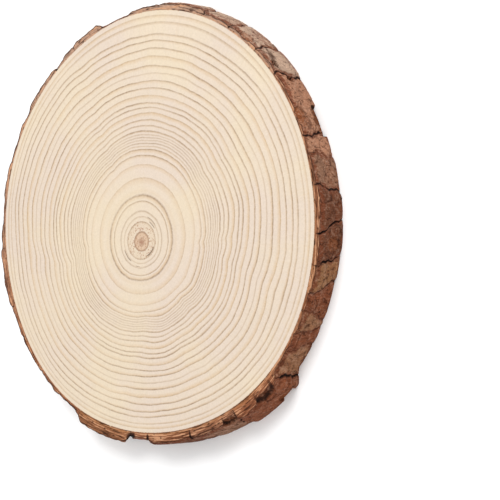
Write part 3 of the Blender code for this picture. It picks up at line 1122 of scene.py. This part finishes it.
@dataclass
class SawnDisc:
    """The wood inside the bark, with a sawn face above and below."""

    rings: GrowthRings
    thickness: float
    shakes: tuple[Shake, ...] = SHAKES
    columns: int = 480
    line_width: float = 0.9 * MM
    shake_depth: float = 0.35 * MM
    shake_taper: float = 0.4
    wall_rows: int = 3

    def build(self) -> bpy.types.Object:
        """Model the disc, with a row of vertices along each growth ring.

        Returns:
            The disc's object, worked out round the log's middle.
        """
        shares = self.rings.rows(self.shakes)
        upper = [(0.0, self.thickness)] + [(share, self.thickness) for share in shares]
        levels = [1.0 - (row + 1) / (self.wall_rows + 1) for row in range(self.wall_rows)]
        wall = [(1.0, self.thickness * level) for level in levels]
        lower = [(share, 0.0) for share in reversed(shares)] + [(0.0, 0.0)]
        bm = roll_profile(upper + wall + lower, self.columns)
        disc = add_object("sawn_disc", bm)
        self.mark_and_place(disc.data)
        shade(disc.data, 30.0)
        return disc

    def mark_and_place(self, mesh: Mesh) -> None:
        """Give the disc the log's own outline and rings, and store what its material reads.

        Args:
            mesh: The round disc, whose radius is 1.
        """
        points = mesh_points(mesh)
        share = np.hypot(points[:, 0], points[:, 1])
        angle = np.degrees(np.arctan2(points[:, 1], points[:, 0]))
        ends = self.rings.year_shares()
        years = self.rings.years
        year = np.interp(share, ends, np.arange(len(ends)))
        index = np.clip(np.ceil(year - 0.4).astype(int) - 1, 0, len(years) - 1)
        set_mark(mesh, Mark.YEAR, year)
        set_mark(mesh, Mark.SHARE, share)
        for mark, values in (
            (Mark.BAND_PART, [y.band_width / y.width for y in years]),
            (Mark.BAND, [y.band for y in years]),
            (Mark.LINE_PART, [self.line_width / y.width for y in years]),
            (Mark.LINE, [y.line for y in years]),
        ):
            set_mark(mesh, mark, np.array(values)[index])

        plan = self.rings.place(angle, share)
        away = plan - np.array(self.rings.pith)
        length = np.maximum(np.linalg.norm(away, axis=1), 1e-9)
        own_angle = np.degrees(np.arctan2(away[:, 1], away[:, 0]))
        set_mark(mesh, Mark.RAY, np.column_stack([away / length[:, None], share]))

        dark = np.zeros(len(points))
        above = points[:, 2] > self.thickness / 2
        for shake in self.shakes:
            half = (shake.end - shake.start) / 2
            off = np.abs(turned((shake.start + shake.end) / 2, own_angle))
            along = smooth((half - off) / (half * self.shake_taper))
            aside = np.abs(share - shake.share) * self.rings.outline.wood_mean_radius
            on_line = aside < 0.5 * shake.half_width
            dark = np.maximum(dark, shake.darkness * along * on_line * above)
        set_mark(mesh, Mark.SHAKE, dark)
        points[:, :2] = plan
        points[:, 2] -= self.shake_depth * dark
        set_points(mesh, points)


@dataclass
class BarkRim:
    """The bark round the slice: its weathered face and its two sawn edges, as one closed ring."""

    relief: BarkRelief
    thickness: float
    columns: int = 1600
    rim_rows: int = 40
    cut_rows: int = 8
    tuck: float = 0.4 * MM
    tuck_drop: float = 0.15 * MM
    cut_unevenness: float = 0.3 * MM
    saw_mark_size: float = 1.6 * MM

    def build(self) -> bpy.types.Object:
        """Model the ring of bark.

        Returns:
            The bark's object, worked out round the log's middle, with two material slots to fill.
        """
        inner, outer = 1.0, 2.0
        steps = [inner + (outer - inner) * row / self.cut_rows for row in range(self.cut_rows)]
        upper = [(step, self.thickness) for step in steps]
        rim = [(outer, self.thickness * (1.0 - row / self.rim_rows)) for row in range(self.rim_rows + 1)]
        lower = [(step, 0.0) for step in reversed(steps)]
        bm = roll_profile(upper + rim + lower + upper[:1], self.columns)
        for face in bm.faces:
            heights = {round(vert.co.z / self.thickness, 3) for vert in face.verts}
            face.material_index = 1 if heights in ({0.0}, {1.0}) else 0
        bark = add_object("bark_rim", bm)
        self.mark_and_place(bark.data)
        shade(bark.data, 50.0)
        return bark

    def mark_and_place(self, mesh: Mesh) -> None:
        """Give the ring the log's outline and the bark's relief, and store what its materials read.

        Args:
            mesh: The round ring, whose radius goes from 1 to 2.
        """
        points = mesh_points(mesh)
        across = np.hypot(points[:, 0], points[:, 1]) - 1.0
        angle = np.degrees(np.arctan2(points[:, 1], points[:, 0]))
        height = points[:, 2] / self.thickness
        sample = self.relief.sample(angle, height)
        inner = self.relief.outline.wood_radius(angle) - self.tuck
        radius = inner + across * (sample.radius - inner)

        way = plan_points(angle, np.ones_like(angle))
        placed = np.column_stack([way * radius[:, None], points[:, 2]])
        on_cut = (np.abs(height - 0.5) > 0.49) & (across < 0.999)
        uneven = 0.5 + 0.5 * unevenness(placed, self.saw_mark_size, 3, 8.4)
        sink = np.where(across < 0.01, self.tuck_drop, self.cut_unevenness * np.clip(uneven, 0.0, 1.0))
        side = np.where(height > 0.5, -1.0, 1.0)
        placed[:, 2] += side * np.where(on_cut, sink, 0.0)
        set_points(mesh, placed)

        # The splits' painted shade fades out towards the wood on the sawn edges.
        sample.marks[Mark.SPLIT] *= smooth(across * 1.2)
        for mark, values in sample.marks.items():
            set_mark(mesh, mark, values)
        set_mark(mesh, Mark.SHARE, across)
        set_mark(mesh, Mark.RAY, np.column_stack([way, radius - inner]))


@dataclass(frozen=True)
class PhotoView:
    """The camera, looking down on the slice at the photograph's angle to the sawn face.

    The tilt and the roll come from the oval that the wood's outline makes in the photograph. The aim
    is a point of the upper face, from the log's middle, and the pixel that shows it.
    """

    face_tilt: float = 42.3
    roll: float = 2.45
    distance: float = 1.1
    pixels_per_metre: float = 1847.0
    image_pixels: float = 500.0
    sensor_width: float = 36.0
    aim: tuple[float, float] = (7.3 * MM, 0.1 * MM)
    aim_pixel: tuple[float, float] = (159.5, 222.8)

    def build(self, middle: Vector, top: float) -> bpy.types.Object:
        """Make the camera.

        Args:
            middle: The log's middle in plan.
            top: Height of the upper sawn face.

        Returns:
            The camera's object, set as the scene's camera.
        """
        target = Vector((middle.x + self.aim[0], middle.y + self.aim[1], top))
        tilt = math.radians(self.face_tilt)
        away = Vector((math.sin(tilt), 0.0, math.cos(tilt)))
        forward = -away
        level_right = (Vector((1.0, 0.0, 0.0)) - forward * forward.x).normalized()
        level_down = forward.cross(level_right)
        roll = math.radians(self.roll)
        right = level_right * math.cos(roll) - level_down * math.sin(roll)
        down = level_right * math.sin(roll) + level_down * math.cos(roll)
        focal = self.pixels_per_metre * self.distance
        half = self.image_pixels / 2
        ray = Vector(((self.aim_pixel[0] - half) / focal, (self.aim_pixel[1] - half) / focal, 1.0))
        swivel = ray.rotation_difference(Vector((0.0, 0.0, 1.0))).to_matrix()
        axes = Matrix((right, down, forward)).transposed() @ swivel
        turn = Matrix((axes.col[0], -axes.col[1], -axes.col[2])).transposed()

        data = bpy.data.cameras.new("photo_camera")
        data.sensor_width = self.sensor_width
        data.lens = focal * self.sensor_width / self.image_pixels
        data.clip_end = 20.0
        camera = bpy.data.objects.new("photo_camera", data)
        camera.matrix_world = Matrix.Translation(target + away * self.distance) @ turn.to_4x4()
        bpy.context.scene.collection.objects.link(camera)
        bpy.context.scene.camera = camera
        return camera


@dataclass(frozen=True)
class Studio:
    """The plain floor and soft light round the slice."""

    floor_size: float = 6.0
    sky_strength: float = 0.95
    key_power: float = 20.0
    key_size: float = 0.9
    key_place: tuple[float, float, float] = (0.35, 1.1, 1.5)
    floor_finish: Finish = Finish("pale_floor", 0.7, 0.2, (0.97, 0.97, 0.97, 1.0))

    def lay_floor(self) -> None:
        """Lay the floor that the slice lies on."""
        bm = bmesh.new()
        bmesh.ops.create_grid(bm, x_segments=1, y_segments=1, size=self.floor_size / 2)
        floor = add_object("floor", bm)
        floor.data.materials.append(self.floor_finish.material())

    def light(self) -> None:
        """Light the slice with an even sky and one large soft lamp."""
        world = bpy.data.worlds.new("soft_sky")
        world.use_nodes = True
        sky = world.node_tree.nodes["Background"]
        sky.inputs["Color"].default_value = (1.0, 1.0, 1.0, 1.0)
        sky.inputs["Strength"].default_value = self.sky_strength
        bpy.context.scene.world = world
        lamp = bpy.data.lights.new("key", "AREA")
        lamp.energy = self.key_power
        lamp.size = self.key_size
        key = bpy.data.objects.new("key", lamp)
        key.location = self.key_place
        key.rotation_euler = (-Vector(self.key_place)).to_track_quat("-Z", "Y").to_euler()
        bpy.context.scene.collection.objects.link(key)
        bpy.context.scene.view_settings.view_transform = "Standard"


def centre_pieces(pieces: list[bpy.types.Object]) -> Vector:
    """Move the pieces together so that their outline is centred, and keep them within the solid's box.

    Args:
        pieces: The slice's pieces, worked out round the log's middle.

    Returns:
        Where the log's middle is after the move.
    """
    every = np.concatenate([mesh_points(piece.data) for piece in pieces])
    low, high = (np.array(corner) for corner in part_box(NODE))
    shift = (low + high) / 2 - (every.min(axis=0) + every.max(axis=0)) / 2
    for piece in pieces:
        set_points(piece.data, np.clip(mesh_points(piece.data) + shift, low, high))
    return Vector(shift)


def main() -> None:
    """Build and dress the pieces, then the studio."""
    logging.basicConfig(level=logging.INFO, format="%(name)s: %(message)s")
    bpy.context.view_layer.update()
    low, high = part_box(NODE)
    thickness = high.z - low.z

    outline = LogOutline()
    disc = SawnDisc(GrowthRings(outline), thickness).build()
    bark = BarkRim(BarkRelief(outline, thickness), thickness).build()
    middle = centre_pieces([disc, bark])

    disc.data.materials.append(SawnPineFinish().material())
    bark.data.materials.append(BarkFaceFinish().material())
    bark.data.materials.append(BarkCutFinish().material())
    for piece, slot in ((disc, "wood"), (bark, "bark")):
        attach(piece, "root")
        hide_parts(NODE)
        LOG.info("%s: %d faces", piece.name, len(piece.data.polygons))

    studio = Studio()
    studio.lay_floor()
    studio.light()
    PhotoView().build(middle, high.z)


if __name__ == "__main__":
    main()
